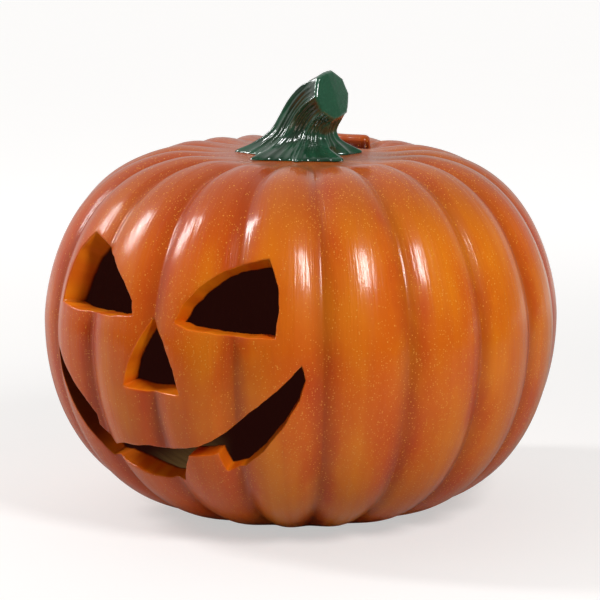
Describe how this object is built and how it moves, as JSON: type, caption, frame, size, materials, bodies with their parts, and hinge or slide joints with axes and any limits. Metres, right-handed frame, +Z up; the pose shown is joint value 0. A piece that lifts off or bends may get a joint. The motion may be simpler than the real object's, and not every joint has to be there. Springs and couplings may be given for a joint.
{
  "type": "carved pumpkin lantern",
  "caption": "Hollow moulded pumpkin lantern with a cut-out grinning face, ribbed glossy orange shell, flat base and a bent green stem.",
  "frame": {"origin": "middle of the footprint, on the floor", "axes": "+Z up, the carved face looks along -Y, +X to the right of someone looking at the face"},
  "size_m": [0.5014, 0.5008, 0.4299],
  "materials": {
    "orange_skin": "painted and varnished, mottled, with fine yellow flecks",
    "green_stem": "painted dark green, high gloss"
  },
  "bodies": {
    "root": {"shell": "orange_skin", "stem": "green_stem"}
  },
  "joints": []
}
